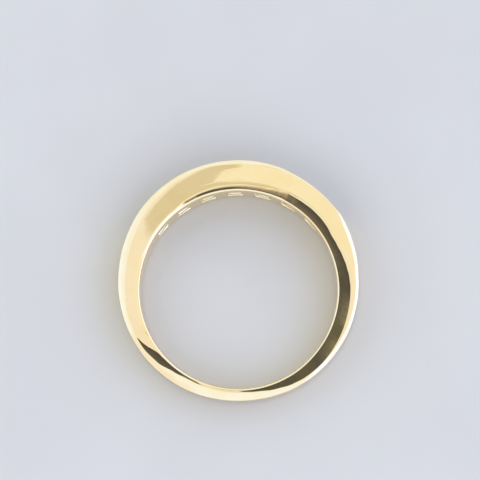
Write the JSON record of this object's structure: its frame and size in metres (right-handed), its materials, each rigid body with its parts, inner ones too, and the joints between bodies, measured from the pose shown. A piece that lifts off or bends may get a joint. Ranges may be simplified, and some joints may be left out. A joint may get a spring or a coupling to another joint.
{
  "type": "channel set band ring",
  "caption": "Tapered finger ring: a curved channel of square cut stones between two rails at the head, with a window under each stone, narrowing to a slim palm side.",
  "frame": {"origin": "centre of the finger hole, halfway across the band", "axes": "+Z along the finger hole's axis, up from the side that the ring lies on; +Y from the hole's centre to the middle stone; +X towards the last stone"},
  "size_m": [0.0202, 0.0202, 0.004],
  "materials": {
    "gold": "polished",
    "stone": "polished facets"
  },
  "bodies": {
    "root": {"band": "gold", "stone_1": "stone", "stone_2": "stone", "stone_3": "stone", "stone_4": "stone", "stone_5": "stone", "stone_6": "stone", "stone_7": "stone"}
  },
  "joints": []
}
